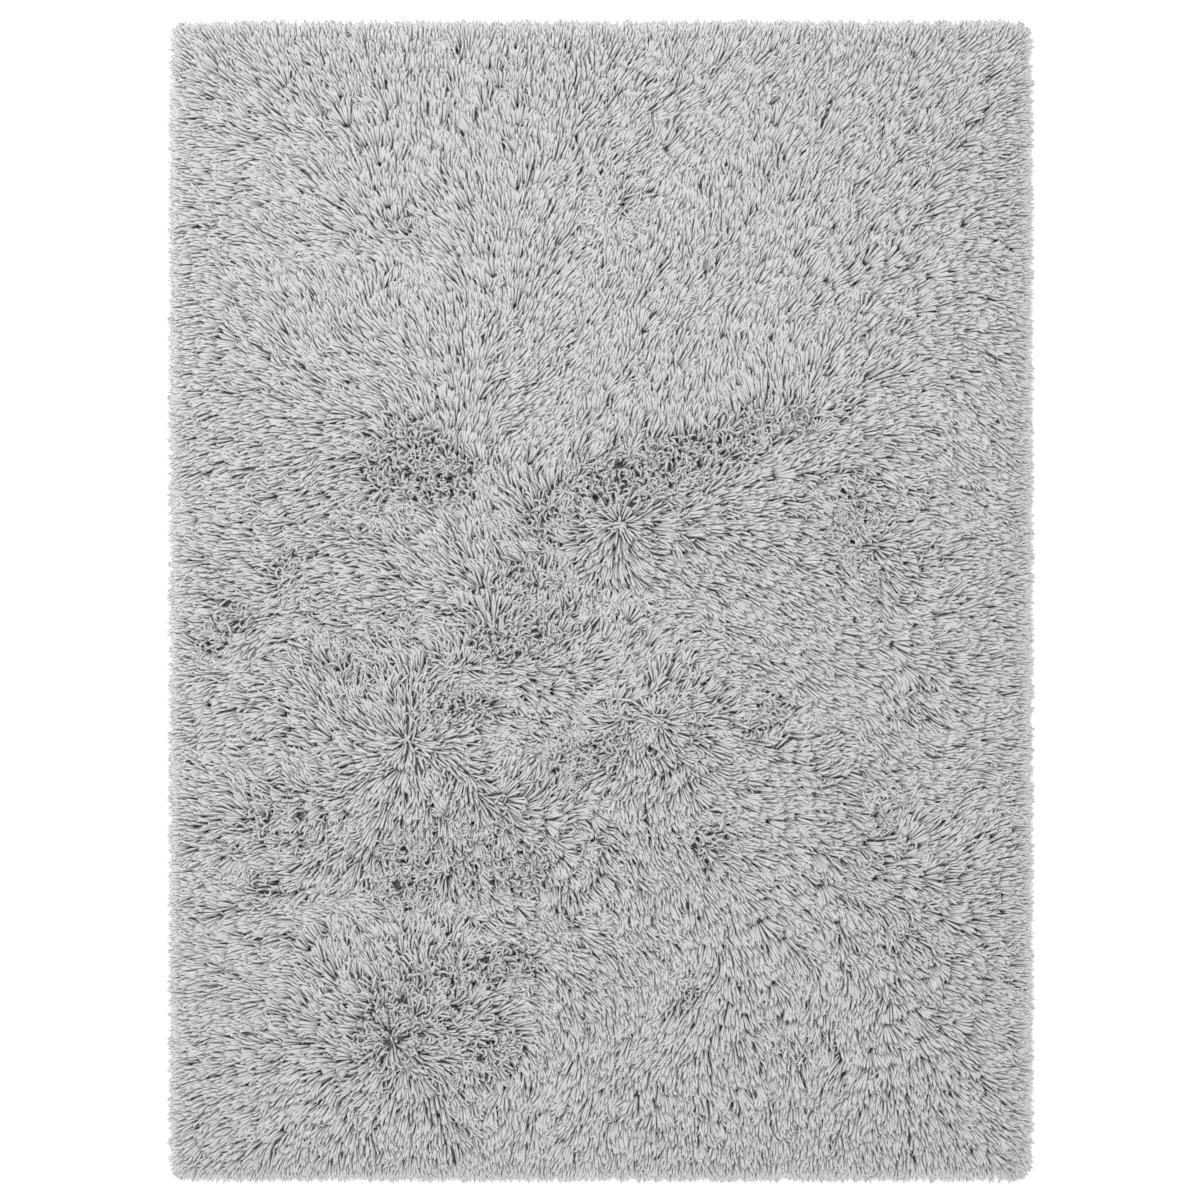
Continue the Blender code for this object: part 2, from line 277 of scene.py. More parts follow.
FAN_ROOTS = (FAN_ROWS[:, 0] + 1j * FAN_ROWS[:, 1]) / 1000
FAN_HEADINGS = np.exp(1j * np.radians(FAN_ROWS[:, 2]))
FAN_REACHES = FAN_ROWS[:, 3] / 1000

# Crowns that the strands radiate from all round.
CROWNS = (
    # (x in mm, y in mm, reach in mm)
    (22, 554, 16), (17, 526, 12), (26, 106, 24), (374, 78, 18), (-269, -191, 17),
    (82, -168, 20), (-191, -92, 14), (-290, -612, 16),
)
CROWN_MIDDLES = np.array([complex(x, y) / 1000 for x, y, _ in CROWNS])

# Rings of strands round the middle of each crown.
CROWN_RINGS = (
    # (how far out they are rooted, how many)
    (0.0020, 9), (0.0060, 13), (0.0110, 17), (0.0170, 20), (0.0240, 24),
)

# Places where the pile is tousled, with small curls and dark holes.
TOUSLES = (
    # (x in mm, y in mm, radius in mm, how much)
    (-262, 190, 48, 1.0), (-200, 160, 36, 0.8), (-15, 152, 34, 0.9), (35, 165, 36, 1.0), (85, 182, 34, 0.9),
    (130, 198, 30, 0.8), (175, 212, 28, 0.8), (225, 235, 26, 0.7), (270, 246, 24, 0.6), (320, 258, 20, 0.5),
    (28, 551, 20, 0.5), (-266, 518, 20, 0.4), (347, 94, 40, 0.6), (340, 150, 34, 0.5), (444, 151, 18, 0.4),
    (444, 54, 18, 0.4), (-165, -66, 24, 0.7), (-120, -58, 24, 0.7), (-80, -46, 24, 0.7),
    (-240, -160, 24, 0.7), (-205, -150, 24, 0.7), (-170, -142, 22, 0.6), (-62, 21, 24, 0.5),
    (-110, 15, 40, 0.5), (-71, 100, 44, 0.5), (-535, -52, 22, 0.7), (-421, 50, 40, 0.4),
    (-500, -15, 40, 0.4), (-266, -33, 44, 0.4), (-45, -213, 40, 0.9), (20, -200, 26, 0.5),
    (70, -190, 24, 0.5), (125, -180, 24, 0.4), (200, -180, 20, 0.4), (-274, -346, 30, 0.8),
    (-270, -390, 46, 0.6), (-453, -305, 36, 0.5), (-453, -395, 26, 0.5), (-13, -338, 22, 0.5),
    (-110, -370, 44, 0.5), (142, -330, 26, 0.6), (-215, -528, 26, 0.7), (-170, -514, 26, 0.8),
    (-125, -498, 26, 0.7), (-290, -599, 50, 0.6), (-160, -615, 44, 0.5), (395, -305, 22, 0.5),
    (379, -354, 30, 0.3), (265, -599, 60, 0.2), (118, -534, 22, 0.4), (416, -458, 36, 0.3),
    (428, -142, 26, 0.3), (232, -142, 30, 0.4),
    # Wide and slight ones.
    (-340, 90, 150, 0.22), (-330, -90, 150, 0.26), (-400, -290, 130, 0.26), (-120, -60, 160, 0.24),
    (60, 110, 120, 0.22), (-170, -330, 170, 0.28), (330, 90, 110, 0.22), (350, -300, 110, 0.20),
    (-250, -560, 130, 0.28), (110, -160, 120, 0.22), (430, -420, 110, 0.16),
)


def mixed(low, high, share):
    """What lies at this share of the way from low to high."""
    return low + (high - low) * share


def smooth(share):
    """0 below 0, 1 above 1 and an even slope between."""
    share = np.clip(share, 0.0, 1.0)
    return share * share * (3 - 2 * share)


def wander(at, pitch, seed):
    """A number from -1 to 1 that changes smoothly from place to place, over about this pitch."""
    lattice = np.random.default_rng(seed).uniform(-1, 1, (int(FIELD / pitch), int(FIELD / pitch)))
    across = (at.real + FIELD / 2) / pitch - 1
    along = (at.imag + FIELD / 2) / pitch - 1
    i = across.astype(int)
    j = along.astype(int)
    u = smooth(across - i)
    v = smooth(along - j)
    low = mixed(lattice[i, j], lattice[i + 1, j], u)
    high = mixed(lattice[i, j + 1], lattice[i + 1, j + 1], u)
    return mixed(low, high, v)


def waves(at, table):
    """The sum of the waves of a table."""
    return sum(size * wander(at, pitch, seed) for size, pitch, seed in table)


def distance_to(centres, at):
    """How far each place is from the nearest of these."""
    return np.abs(at[..., None] - centres).min(axis=-1)


def rim_gap(at, half_x, half_y, radius):
    """Distance in from the edge of a rounded rectangle, and the outward direction of that edge."""
    over_x = np.abs(at.real) - (half_x - radius)
    over_y = np.abs(at.imag) - (half_y - radius)
    past = np.hypot(np.maximum(over_x, 0), np.maximum(over_y, 0))
    gap = radius - past - np.minimum(np.maximum(over_x, over_y), 0)
    corner = (over_x > 0) & (over_y > 0)
    outward_x = np.where(corner, over_x, over_x > over_y)
    outward_y = np.where(corner, over_y, over_x <= over_y)
    outward = outward_x * np.sign(at.real) + 1j * outward_y * np.sign(at.imag)
    return gap, outward / np.maximum(np.abs(outward), 1e-9)


def ground_gap(at, inset=0.0, corner=GROUND_CORNER):
    """The same for the edge of the ground, or for a line this far inside it."""
    return rim_gap(at, GROUND_X - inset, GROUND_Y - inset, corner)


def outline_gap(at, over=0.0):
    """The same for the outline of the CAD, or for a line this far outside it."""
    return rim_gap(at, OUTER_X + over, OUTER_Y + over, OUTLINE_CORNER + over)


def nearness(gap, depth):
    """1 outside and at an edge, and less the farther in from it."""
    return np.exp(-np.maximum(gap, 0) / depth)


def charted_lean(at):
    """The comb chart's lean at each place. It is shorter than 1 where leans meet."""
    rows = np.array([row[0] for row in LEANS])[::-1]
    leans = np.exp(1j * np.radians(np.array([row[1] for row in LEANS], float)))[::-1]
    j = np.clip(np.searchsorted(rows, at.imag) - 1, 0, len(rows) - 2)
    v = np.clip((at.imag - rows[j]) / (rows[j + 1] - rows[j]), 0, 1)
    step = LEAN_X[1] - LEAN_X[0]
    across = np.clip((at.real - LEAN_X[0]) / step, 0, len(LEAN_X) - 1.001)
    i = across.astype(int)
    u = across - i
    low = mixed(leans[j, i], leans[j, i + 1], u)
    high = mixed(leans[j + 1, i], leans[j + 1, i + 1], u)
    return mixed(low, high, v)


def unit(direction):
    return direction / np.maximum(np.abs(direction), 1e-9)


def all_fans():
    """Roots, headings, reaches and strengths of the charted fans and of small ones between them."""
    chance = np.random.default_rng(SEED + 7)
    small = jittered_places(SMALL_FAN_PITCH, chance, jitter=0.40, inset=0.012)
    from_fans, from_crowns = SMALL_FAN_CLEAR
    clear = (distance_to(FAN_ROOTS, small) > from_fans) & (distance_to(CROWN_MIDDLES, small) > from_crowns)
    small = small[clear & (tousled(small) < SMALL_FAN_CALM)]
    small_reaches = chance.uniform(*SMALL_FAN_REACH, len(small))
    return (
        np.concatenate([FAN_ROOTS, small]),
        np.concatenate([FAN_HEADINGS, combed_lean(small)]),
        np.concatenate([FAN_REACHES, small_reaches]),
        np.concatenate([np.ones(len(FANS)), np.full(len(small), SMALL_FAN_STRENGTH)]),
    )


def fanned(lean, at):
    """The lean, turned into the fans and crowns."""
    lean = lean.copy()
    for root, heading, reach, strength in zip(*fans):
        near = np.abs(at - root) < FAN_CUTOFF * reach
        off = at[near] - root
        ahead = (off / heading).real / np.maximum(np.abs(off), 1e-4)
        weight = strength * np.exp(-((np.abs(off) / reach) ** 2))
        weight *= smooth((ahead + FAN_HALF_EDGE) / (2 * FAN_HALF_EDGE))
        lean[near] = mixed(lean[near], unit(unit(off) + FAN_FORWARD * heading), weight)
    for x, y, reach in CROWNS:
        off = at - complex(x, y) / 1000
        lean = mixed(lean, unit(off), np.exp(-((np.abs(off) / (reach / 1000)) ** 4)))
    return lean


def combed_lean(at):
    """The chart's lean, a little uneven."""
    return unit(charted_lean(at)) * np.exp(1j * np.radians(waves(at, LEAN_WAVES)))


def lean_at(at):
    """Which way a strand rooted here leans."""
    lean = fanned(combed_lean(at), at)
    gap, outward = ground_gap(at, corner=RIM_TURN)
    return unit(mixed(lean, outward, RIM_PULL * nearness(gap, RIM_PULL_DEPTH)))


def tousled(at):
    """How tousled the pile is, from 0 to 1."""
    amount = np.zeros(at.shape)
    for x, y, radius, how_much in TOUSLES:
        off = np.abs(at - complex(x, y) / 1000) / (radius / 1000)
        amount = np.maximum(amount, how_much * np.exp(-(off**2)))
    return amount


def pile_top(at):
    """Height of the lying pile."""
    gap, _ = outline_gap(at)
    inner = 1 - nearness(gap, PILE_SHOULDER)
    return PILE_RIM + (PILE_TOP - PILE_RIM + waves(at, PILE_WAVES)) * inner


def ground_top(at):
    """Height of the ground that the strands stand in."""
    gap, _ = ground_gap(at)
    inner = 1 - nearness(gap, GROUND_SHOULDER)
    rise = GROUND_MIDDLE - GROUND_EDGE + waves(at, GROUND_WAVES) - GROUND_TOUSLED * tousled(at)
    return GROUND_EDGE + rise * inner


def jittered_places(pitch, chance, jitter=0.42, inset=0.0):
    """Places over the ground, in staggered rows, each up to this share of the pitch out of its row."""
    half_x = GROUND_X - inset
    half_y = GROUND_Y - inset
    rows = np.arange(-half_y, half_y + pitch, pitch * math.sqrt(3) / 2)
    places = []
    for number, y in enumerate(rows):
        x = np.arange(-half_x - pitch * (number % 2) / 2, half_x + pitch, pitch)
        places.append(x + 1j * y)
    places = np.concatenate(places)
    shift = chance.uniform(-jitter, jitter, (2, len(places))) * pitch
    places = places + shift[0] + 1j * shift[1]
    gap, _ = ground_gap(places, inset)
    return places[gap > 0]


def nearest(at, centres, pitch):
    """The number of the centre that each place is nearest to."""
    columns = int(FIELD / pitch)
    most_in_cell = 4

    def cell_of(place):
        across = ((place.real + FIELD / 2) / pitch).astype(int)
        along = ((place.imag + FIELD / 2) / pitch).astype(int)
        return across * columns + along

    order = np.argsort(cell_of(centres), kind="stable")
    cells = cell_of(centres)[order]
    best = np.full(len(at), np.inf)
    found = np.zeros(len(at), int)
    home = cell_of(at)
    for aside in (-1, 0, 1):
        for ahead in (-1, 0, 1):
            cell = home + aside * columns + ahead
            first = np.searchsorted(cells, cell)
            for number in range(most_in_cell):
                here = np.minimum(first + number, len(cells) - 1)
                centre = order[here]
                far = np.where(cells[here] == cell, np.abs(at - centres[centre]), np.inf)
                nearer = far < best
                best = np.where(nearer, far, best)
                found = np.where(nearer, centre, found)
    return found


def walked(start, lean, reach, curl, hook):
    """Flat places along strands, which bend with the lean around them, curl, and hook at their tips."""
    path = [start]
    heading = lean
    own_turn = lean / lean_map(start)
    for share in np.diff(RING_OUT):
        path.append(path[-1] + reach * share * heading)
        bend = np.exp(1j * curl * share)
        heading = unit(heading + STRAND_FOLLOWS * own_turn * lean_map(path[-1])) * bend
        own_turn = own_turn * bend
    path[-1] = path[-2] + (path[-1] - path[-2]) * np.exp(1j * hook)
    return np.array(path)


class LeanMap:
    """The lean on a fine square grid, to be read between its corners."""

    PITCH = 0.004
    MARGIN = 0.1

    def __init__(self):
        self.low = complex(-OUTER_X - self.MARGIN, -OUTER_Y - self.MARGIN)
        across = np.arange(0, 2 * OUTER_X + 2 * self.MARGIN, self.PITCH)
        along = np.arange(0, 2 * OUTER_Y + 2 * self.MARGIN, self.PITCH)
        self.leans = lean_at(self.low + across[:, None] + 1j * along[None, :])

    def __call__(self, at):
        place = (at - self.low) / self.PITCH
        i = place.real.astype(int)
        j = place.imag.astype(int)
        u = place.real - i
        v = place.imag - j
        low = mixed(self.leans[i, j], self.leans[i + 1, j], u)
        high = mixed(self.leans[i, j + 1], self.leans[i + 1, j + 1], u)
        return unit(mixed(low, high, v))


def with_fans(locks):
    """The places of the locks, with the charted fans instead of those next to them. The fans come first."""
    clear = distance_to(FAN_ROOTS, locks) > 0.6 * LOCK_PITCH
    return np.concatenate([FAN_ROOTS, locks[clear]])


def even_places(count, chance):
    """About this many places all over the ground."""
    area = 4 * GROUND_X * GROUND_Y
    closer = 0.985  # to make up for those that fall outside
    pitch = math.sqrt(area / count * 2 / math.sqrt(3)) * closer
    return jittered_places(pitch, chance, inset=0.001)


def shares_across(lock, across):
    """Each strand's place among those of its lock, from -0.5 at one side to 0.5 at the other."""
    order = np.lexsort((across, lock))
    counts = np.bincount(lock)
    first = np.cumsum(counts) - counts
    rank = np.empty(len(lock))
    rank[order] = np.arange(len(lock)) - first[lock[order]]
    return (rank + 0.5) / counts[lock] - 0.5


def tousled_holes():
    """Middles of the dark holes in the tousled pile."""
    chance = np.random.default_rng(SEED + 8)
    places = jittered_places(HOLE_PITCH, chance, inset=0.02)
    return places[tousled(places) > chance.uniform(*HOLE_ODDS, len(places))]


def trimmed(roots, lean, reach):
    """Strands that would cover the dark root of a fan end in a V round it, and others end at the holes."""
    for root, fan_reach in zip(FAN_ROOTS, FAN_REACHES):
        off = (root - roots) / lean
        room = off.real + V_MARGIN + V_SLOPE * np.abs(off.imag)
        covers = (off.real > V_BEHIND) & (room < reach) & (np.abs(off.imag) < V_WIDTH * fan_reach)
        reach = np.where(covers, room, reach)
    for hole in holes:
        off = (hole - roots) / lean
        room = off.real - HOLE_RADIUS
        covers = (off.real > HOLE_BEHIND) & (room < reach) & (np.abs(off.imag) < HOLE_RADIUS)
        reach = np.where(covers, np.maximum(room, HOLE_LEAST_REACH), reach)
    return reach


def with_mess(pair, mess):
    """The first number in calm pile, and the second more where it is fully tousled."""
    return pair[0] + pair[1] * mess


def lock_strands(chance):
    """Strands in locks. First come those of the charted fans."""
    locks = with_fans(jittered_places(LOCK_PITCH, chance))
    tufts = jittered_places(TUFT_PITCH, chance, jitter=0.36, inset=-0.02)
    gap, _ = ground_gap(locks)
    inner = smooth((gap - 0.004) / 0.026)  # 0 at the rim
    is_fan = np.arange(len(locks)) < len(FANS)
    mess = tousled(locks)

    # A tuft turns its locks together, and a lock its strands.
    tuft = nearest(locks, tufts, TUFT_PITCH)
    turn = with_mess(LOCK_TURN, mess) * chance.normal(0, 1, len(locks))
    turn += with_mess(TUFT_TURN, mess) * chance.normal(0, 1, len(tufts))[tuft]
    turn = np.where(is_fan, 0, turn * mixed(0.4, 1.0, inner))
    drift = (tufts[tuft] - locks) * TUFT_DRIFT * inner * np.minimum(mess / 0.35, 1)
    drift = np.where(is_fan, 0, drift)
    heading = lean_map(locks) * np.exp(1j * np.radians(turn))
    reach = STRAND_REACH * chance.uniform(*LOCK_REACH, len(locks)) * (1 - TOUSLED_SHORTER * mess)
    level = LOCK_LEVEL + with_mess(LOCK_RISE, mess) * chance.uniform(-1, 1, len(locks)) + FAN_RISE * is_fan
    level += with_mess(TUFT_RISE, mess) * inner * chance.uniform(-1, 1, len(tufts))[tuft]
    curl = chance.normal(0, LOCK_CURL, len(locks)) * (1 + mess)
    tone = chance.normal(0, LOCK_TONE, len(locks))

    # Its strands fan out from roots that lie close together, but less so at the rim.
    roots = even_places(LOCK_COUNT, chance)
    extra = np.repeat(FAN_ROOTS, FAN_STRANDS)
    extra = extra + FAN_MIDDLE * chance.normal(0, 1, (2, len(extra))).T @ (1, 1j)
    roots = np.concatenate([roots, extra])
    lock = nearest(roots, locks, LOCK_PITCH)
    count = len(lock)
    off = (roots - locks[lock]) / heading[lock]
    share = shares_across(lock, off.imag) + chance.uniform(-0.03, 0.03, count)
    gather_along = np.where(is_fan, FAN_ALONG, chance.uniform(*LOCK_ALONG, len(locks)))[lock]
    gather_across = np.where(is_fan, FAN_ACROSS, chance.uniform(*LOCK_ACROSS, len(locks)))[lock]
    gathered = off.real * gather_along + 1j * share * LOCK_PITCH * gather_across
    roots = (locks + drift)[lock] + mixed(off, gathered, inner[lock]) * heading[lock]
    spread = np.where(is_fan, FAN_SPREAD, LOCK_SPREAD) * inner
    mess = mess[lock]
    turn = share * spread[lock] + chance.normal(0, OWN_TURN, count) * (1 + 8 * mess)
    stays = chance.uniform(0, 1, count) > TOUSLED_LOCK_GAPS * mess
    parts = (
        roots,
        unit(lean_map(roots) * (heading / lean_map(locks))[lock]) * np.exp(1j * turn),
        reach[lock] * chance.uniform(*OWN_REACH, count),
        level[lock] * chance.uniform(*OWN_LEVEL, count) - LOCK_ROUNDNESS * inner[lock] * share**2,
        curl[lock] + chance.normal(0, OWN_CURL, count) + TOUSLED_CURL * mess * chance.normal(0, 1, count),
        tone[lock],
    )
    return [part[stays] for part in parts]


def loose_strands(roots, leans, chance, reach, level, curl, tone=None):
    """Strands that aren't in locks, from these ranges and spreads."""
    count = len(roots)
    reaches = STRAND_REACH * chance.uniform(*reach, count)
    curls = chance.normal(0, curl, count)
    levels = chance.uniform(*level, count)
    tones = chance.normal(*tone, count) if tone else np.zeros(count)
    return roots, leans, reaches, levels, curls, tones


def crown_strands(chance):
    """Strands that radiate from the crowns."""
    roots = []
    leans = []
    for middle in CROWN_MIDDLES:
        for out, number in CROWN_RINGS:
            turn = 2 * math.pi * (np.arange(number) + chance.uniform(-0.5, 0.5, number)) / number
            leans.append(np.exp(1j * turn))
            roots.append(middle + out * leans[-1])
    roots = np.concatenate(roots)
    leans = np.concatenate(leans)
    return loose_strands(roots, leans, chance, reach=(0.55, 0.95), level=(0.92, 1.04), curl=0.5)


def rim_strands(chance):
    """Strands in an even row all along the rim."""
    x = np.arange(-GROUND_X, GROUND_X, RIM_PITCH)
    y = 1j * np.arange(-GROUND_Y, GROUND_Y, RIM_PITCH)
    row = np.concatenate([x - 1j * GROUND_Y, x + 1j * GROUND_Y, y - GROUND_X, y + GROUND_X])
    gap, outward = ground_gap(row)
    roots = row + outward * (gap - chance.uniform(*RIM_ROOTS, len(row)))
    leans = unit(lean_map(roots) + 0.2 * outward) * np.exp(1j * chance.normal(0, 0.05, len(row)))
    # Their tones are paler than those of the rest of the pile: painted light.
    return loose_strands(
        roots, leans, chance, reach=(1.0, 1.2), level=(0.85, 1.0), curl=0.15, tone=(0.12, 0.06)
    )


def under_strands(chance):
    """Strands that lie everywhere under the locks, fewer where the pile is tousled."""
    roots = even_places(UNDER_COUNT, chance)
    mess = tousled(roots)
    stays = chance.uniform(0, 1, len(roots)) > TOUSLED_UNDER_GAPS * mess
    roots = roots[stays]
    mess = mess[stays]
    leans = lean_map(roots) * np.exp(1j * chance.normal(0, 0.15, len(roots)) * (1 + 4 * mess))
    roots, leans, reach, level, curl, tone = loose_strands(
        roots, leans, chance, reach=(0.85, 1.1), level=(0.85, 1.15), curl=0.2, tone=(0, 0.1)
    )
    return roots, leans, reach, UNDER_LEVEL * level, curl * (1 + 6 * mess), tone


def ended_at_rim(roots, lean, reach, chance):
    """The reach, shorter where the tip would pass the outline, and a little uneven along it."""
    gap, outward = outline_gap(roots)
    room = gap + RIM_OVER - chance.uniform(0, 1, len(roots)) * RIM_RAGGEDNESS
    room = room / np.maximum((lean / outward).real, 0.25)
    return np.minimum(reach, np.maximum(room, LEAST_REACH))


def filling_strands(path, most, chance):
    """Places along more strands, at most this number, over what the others leave bare."""
    low = complex(-OUTER_X, -OUTER_Y)
    columns = int(2 * OUTER_X / FILL_CELL) + 1
    rows = int(2 * OUTER_Y / FILL_CELL) + 1
    covered = np.zeros((columns, rows))
    for share in (0.0, 0.25, 0.5, 0.75, 1.0):
        for ring in range(1, len(RING_RADIUS)):
            at = (mixed(path[ring], path[ring + 1], share) - low) / FILL_CELL
            i = np.clip(at.real.astype(int), 0, columns - 1)
            j = np.clip(at.imag.astype(int), 0, rows - 1)
            np.add.at(covered, (i, j), 1)
    across, along = np.nonzero(covered == 0)
    bare = low + FILL_CELL * (across + 0.5 + 1j * (along + 0.5))
    gap, _ = ground_gap(bare)
    kept_dark = (distance_to(FAN_ROOTS, bare) < 0.004) | (distance_to(holes, bare) < 2 * HOLE_RADIUS)
    around = sum(np.roll(covered, step, axis=axis) == 0 for step in (-2, -1, 1, 2) for axis in (0, 1))
    wanted = around[across, along] + chance.uniform(0, 1, len(bare)) - 3 * tousled(bare)
    wanted[(gap < FILL_FROM_EDGE) | kept_dark] = -np.inf
    bare = bare[np.argsort(-wanted)[: min(most, np.count_nonzero(np.isfinite(wanted)))]]
    heading = lean_map(bare) * np.exp(1j * chance.normal(0, FILL_TURN, len(bare)))
    reach = chance.uniform(*FILL_REACH, len(bare))
    start = bare - 0.7 * reach * heading
    curl = chance.normal(0, FILL_CURL, len(bare))
    steps = np.diff(RING_OUT)[:, None] * reach * heading * np.exp(1j * curl * RING_OUT[:-1, None])
    return np.concatenate([start[None], start + np.cumsum(steps, axis=0)])


def laid_strands():
    """Every strand: its places from root to tip, the radii of its rings, its tone and its spin."""
    chance = np.random.default_rng(SEED)
    groups = [lock_strands(chance), crown_strands(chance), rim_strands(chance), under_strands(chance)]
    roots, lean, reach, level, curl, tone = [np.concatenate(parts) for parts in zip(*groups)]
    reach = trimmed(roots, lean, ended_at_rim(roots, lean, reach, chance))
    hook = STRAND_HOOK[0] * curl + chance.normal(0, STRAND_HOOK[1], len(roots))
    path = walked(roots, lean, reach, curl, hook)
    filler = filling_strands(path, STRAND_COUNT - len(roots), chance)
    extra = filler.shape[1]
    path = np.concatenate([path, filler], axis=1)
    level = np.concatenate([level, chance.uniform(*FILL_LEVEL, extra)])
    tone = np.concatenate([tone, np.zeros(extra)])
    count = len(tone)

    # No tip lies outside the outline.
    gap, outward = outline_gap(path, RIM_OVER)
    path = path + outward * np.minimum(gap, 0) * chance.uniform(1.0, 1.5, count)

    up = np.broadcast_to(RING_UP[:, None], path.shape).copy()
    up[-1] += chance.uniform(-0.08, 0.03, count)
    gap, _ = outline_gap(path[-1])
    at_rim = nearness(gap, RIM_THINNER_DEPTH)
    radius = STRAND_RADIUS * chance.uniform(*STRAND_RADII, count)
    radius = radius * (1 - TOUSLED_THINNER * tousled(path[1])) * (1 - RIM_THINNER * at_rim)
    # Tips near the outline are paler: painted light.
    tones = toned(tone + RIM_PAINTED_LIGHT * at_rim, chance)
    spin = chance.uniform(-STRAND_SPIN, STRAND_SPIN, count)
    return risen(path, up, level), radius[:, None] * RING_RADIUS, tones, spin


def risen(path, up, level):
    """Places in space of strands that rise from the ground to this level, and hang down past its edge."""
    foot = ground_top(path[0]) - ROOT_DEPTH
    gap, _ = ground_gap(path)
    lowest = np.where(gap > 0, foot + 0.002, 0.0)
    height = foot + (np.maximum(pile_top(path) * level, lowest) - foot) * up
    height[1:-1] = np.maximum(height[1:-1], LEAST_HEIGHT)
    height[-1] = np.maximum(height[-1], LEAST_TIP_HEIGHT)
    return np.stack([path.real, path.imag, height], axis=2).transpose(1, 0, 2)


def toned(tone, chance):
    """Tones of strands around those of their locks."""
    return np.clip(0.5 + tone + TONE_SPREAD * chance.normal(0, 1, len(tone)), *TONE_RANGE)


def curled_strands():
    """Strands that curl up in the tousled places."""
    chance = np.random.default_rng(SEED + 6)
    roots = even_places(CURL_PLACES, chance)
    wanted = tousled(roots) * chance.uniform(0, 1, len(roots)) ** 0.5
    wanted[distance_to(CROWN_MIDDLES, roots) < CURL_CLEAR] = 0
    spares = 1.3  # for those dropped where they would cross a hole
    roots = roots[np.argsort(-wanted)[: round(spares * CURL_COUNT)]]
    count = len(roots)
    reach = chance.uniform(*CURL_REACH, count)
    bend = chance.uniform(*CURL_BEND, count) * chance.choice((-1, 1), count)
    heading = lean_map(roots) * np.exp(1j * chance.normal(0, CURL_TURN, count))
    path = [roots]
    for step in range(CURL_RINGS + 1):
        turn = bend * (step / CURL_RINGS) ** 1.5
        path.append(path[-1] + reach / (CURL_RINGS + 1) * heading * np.exp(1j * turn))
    path = np.array(path)
    clear = distance_to(holes, path).min(axis=0) > 0.8 * HOLE_RADIUS
    path = path[:, clear][:, :CURL_COUNT]
    count = path.shape[1]
    up = np.broadcast_to(CURL_UP[:, None], path.shape)
    places = risen(path, up, chance.uniform(*CURL_LEVEL, count))
    radius = np.full((count, CURL_RINGS), CURL_RADIUS) * chance.uniform(0.8, 1.2, (count, 1))
    return places, radius, toned(np.zeros(count), chance), chance.uniform(-CURL_SPIN, CURL_SPIN, count)


def along_unit(vectors):
    return vectors / np.maximum(np.linalg.norm(vectors, axis=-1, keepdims=True), 1e-9)


def strand_corners(places, radius, spin):
    """The corners of each strand: its root, those of its rings and its tip."""
    rings = radius.shape[1]
    corners = np.empty((len(places), SIDES * rings + 2, 3))
    corners[:, 0] = places[:, 0]
    corners[:, -1] = places[:, -1]
    for ring in range(1, rings + 1):
        heading = along_unit(places[:, ring + 1] - places[:, ring - 1])
        side = along_unit(np.cross(heading, (0.0, 0.0, 1.0)))
        lift = np.cross(side, heading)
        for corner in range(SIDES):
            angle = (spin + corner * 2 * math.pi / SIDES)[:, None]
            out = STRAND_FLATNESS * np.cos(angle) * lift + np.sin(angle) * side
            corners[:, corner_number(ring, corner)] = places[:, ring] + radius[:, ring - 1, None] * out
    return corners


def corner_number(ring, corner):
    """The number of a corner of a strand's ring. Rings count from 1, and number 0 is the root."""
    return SIDES * (ring - 1) + corner % SIDES + 1


def strand_pattern(rings):
    """Faces of one strand, as corners of (number, place round the strand, ring)."""
    faces = []
    tip = SIDES * rings + 1
    for side in range(SIDES):
        here, there = [
            [(corner_number(ring, corner), corner, ring) for ring in range(1, rings + 1)]
            for corner in (side, side + 1)
        ]
        faces.append(((0, side + 0.5, 0), there[0], here[0]))
        for ring in range(rings - 1):
            faces.append((here[ring], there[ring], there[ring + 1], here[ring + 1]))
        faces.append((here[-1], there[-1], (tip, side + 0.5, rings + 1)))
    return faces


def pile_piece(name, strands, ring_along, material):
    """One mesh of many strands.

    Its map has a column for each tone. In a column, across is round the strand and up is along it.
    """
    places, radius, tone, spin = strands
    corners = strand_corners(places, radius, spin)
    pattern = strand_pattern(radius.shape[1])
    sizes = np.array([len(face) for face in pattern])
    number, round_place, ring = np.array([corner for face in pattern for corner in face]).T
    along = ring_along[ring.astype(int)]
    count = len(places)
    starts = np.concatenate([[0], np.cumsum(sizes)[:-1]])

    mesh = bpy.data.meshes.new(name)
    mesh.vertices.add(corners.shape[0] * corners.shape[1])
    mesh.vertices.foreach_set("co", corners.astype(np.float32).ravel())
    mesh.loops.add(count * sizes.sum())
    number = np.arange(count)[:, None] * corners.shape[1] + number
    mesh.loops.foreach_set("vertex_index", number.astype(np.int32).ravel())
    mesh.polygons.add(count * len(sizes))
    face_starts = np.arange(count)[:, None] * sizes.sum() + starts
    mesh.polygons.foreach_set("loop_start", face_starts.astype(np.int32).ravel())
    mesh.update(calc_edges=True)
    mesh.validate()
    layer = mesh.uv_layers.new(name="OFBake")
    u = (np.floor(tone[:, None] * TONES) + 0.02 + 0.96 * (round_place / SIDES)) / TONES
    v = np.broadcast_to(0.01 + 0.98 * along, u.shape)
    layer.uv.foreach_set("vector", np.stack([u, v], axis=2).astype(np.float32).ravel())
    mesh.shade_smooth()
    mesh.materials.append(material)
    piece = bpy.data.objects.new(name, mesh)
    bpy.context.scene.collection.objects.link(piece)
    return piece


